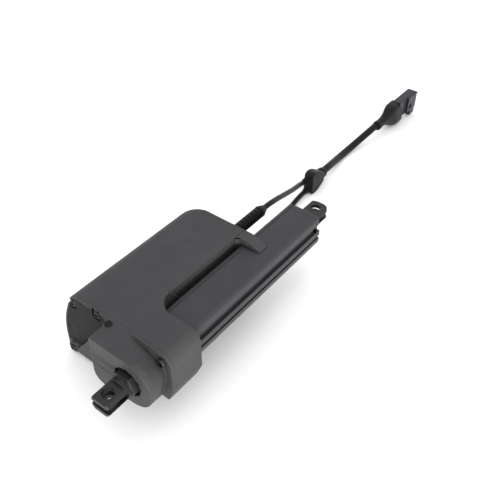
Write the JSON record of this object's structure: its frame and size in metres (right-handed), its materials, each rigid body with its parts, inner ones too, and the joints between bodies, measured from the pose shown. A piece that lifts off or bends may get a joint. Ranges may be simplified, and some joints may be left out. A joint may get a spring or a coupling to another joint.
{
  "type": "linear actuator",
  "caption": "Parallel-drive electric linear actuator: cast motor housing beside a square guide tube, forked pin ends, and a short cable with a moulded plug.",
  "frame": {"origin": "centre of the rear fork's pin hole", "axes": "+X along the rod axis from the rear fork to the rod eye, +Y from the rod axis towards the motor, +Z along the pin holes; the motor housing rests on a floor 72 mm below the rod axis"},
  "size_m": [0.7765, 0.1635, 0.1031],
  "materials": {
    "housing_coat": "satin, fine textured black powder coat",
    "tube_coat": "satin black anodised and coated extrusion",
    "moulded_plastic": "moulded, matt",
    "black_screw": "black oxide",
    "dark_steel": "dark treated steel, satin",
    "bare_steel": "machined",
    "rod_chrome": "ground and polished",
    "bronze": "machined",
    "gear_plastic": "moulded",
    "cast_alloy": "cast",
    "seal_rubber": "moulded",
    "magnet": "sintered",
    "winding": "enamelled copper on a steel core",
    "board_green": "laminate",
    "board_black": "moulded",
    "cable_rubber": "semi-matt black jacket",
    "plug_plastic": "moulded black nylon",
    "terminal_brass": "plated"
  },
  "bodies": {
    "housing": {"main_housing": "housing_coat", "rear_cover": "housing_coat", "motor_end_cap": "moulded_plastic", "cover_screws": "black_screw", "override_plug": "moulded_plastic", "housing_gasket": "seal_rubber", "rear_clevis": "dark_steel", "clevis_nut": "bare_steel", "guide_tube": "tube_coat", "front_bracket": "housing_coat", "bracket_screws": "black_screw", "end_cap": "tube_coat", "cap_screws": "black_screw", "front_bush": "bronze", "wiper_seal": "seal_rubber", "rear_bearing": "bare_steel", "front_bearing": "bare_steel", "bearing_plate": "cast_alloy", "idler_pin": "bare_steel", "idler_bushes": "bronze", "motor_can": "bare_steel", "motor_screws": "bare_steel", "motor_magnets": "magnet", "motor_end_bell": "moulded_plastic", "motor_brushes": "magnet", "control_board": "board_green", "board_parts": "board_black", "board_screws": "bare_steel", "power_gland": "cable_rubber", "signal_gland": "cable_rubber", "power_lead": "cable_rubber", "signal_lead": "cable_rubber", "lead_splitter": "cable_rubber", "main_cable": "cable_rubber", "plug_boot": "cable_rubber", "plug_body": "plug_plastic", "plug_terminals": "terminal_brass"},
    "rod": {"rod_tube": "rod_chrome", "rod_eye": "dark_steel", "eye_nut": "bare_steel", "spindle_nut": "bronze", "guide_ring": "gear_plastic"},
    "spindle_group": {"spindle": "bare_steel", "spindle_gear": "gear_plastic", "spindle_lock_nut": "bare_steel"},
    "idler": {"idler_gear": "gear_plastic"},
    "motor_rotor": {"armature": "winding", "motor_pinion": "bare_steel"}
  },
  "joints": [
    {"name": "motor_spin", "type": "hinge", "parent": "housing", "child": "motor_rotor", "pos_m": [0.12, 0.07917, -0.01828], "axis": [1, 0, 0], "range_deg": [0, 28800]},
    {"name": "idler_spin", "type": "hinge", "parent": "housing", "child": "idler", "pos_m": [0.067, 0.04872, -0.01125], "axis": [1, 0, 0], "range_deg": [-7200, 0]},
    {"name": "spindle_spin", "type": "hinge", "parent": "housing", "child": "spindle_group", "pos_m": [0.07, 0, 0], "axis": [1, 0, 0], "range_deg": [0, 7200]},
    {"name": "rod_slide", "type": "slide", "parent": "housing", "child": "rod", "axis": [1, 0, 0], "range_m": [0, 0.2]}
  ],
  "couplings": [
    {"joint": "idler_spin", "follows": "motor_spin", "ratio": -0.25},
    {"joint": "spindle_spin", "follows": "motor_spin", "ratio": 0.25},
    {"joint": "rod_slide", "follows": "motor_spin", "m_per_rad": 0.00039789}
  ]
}
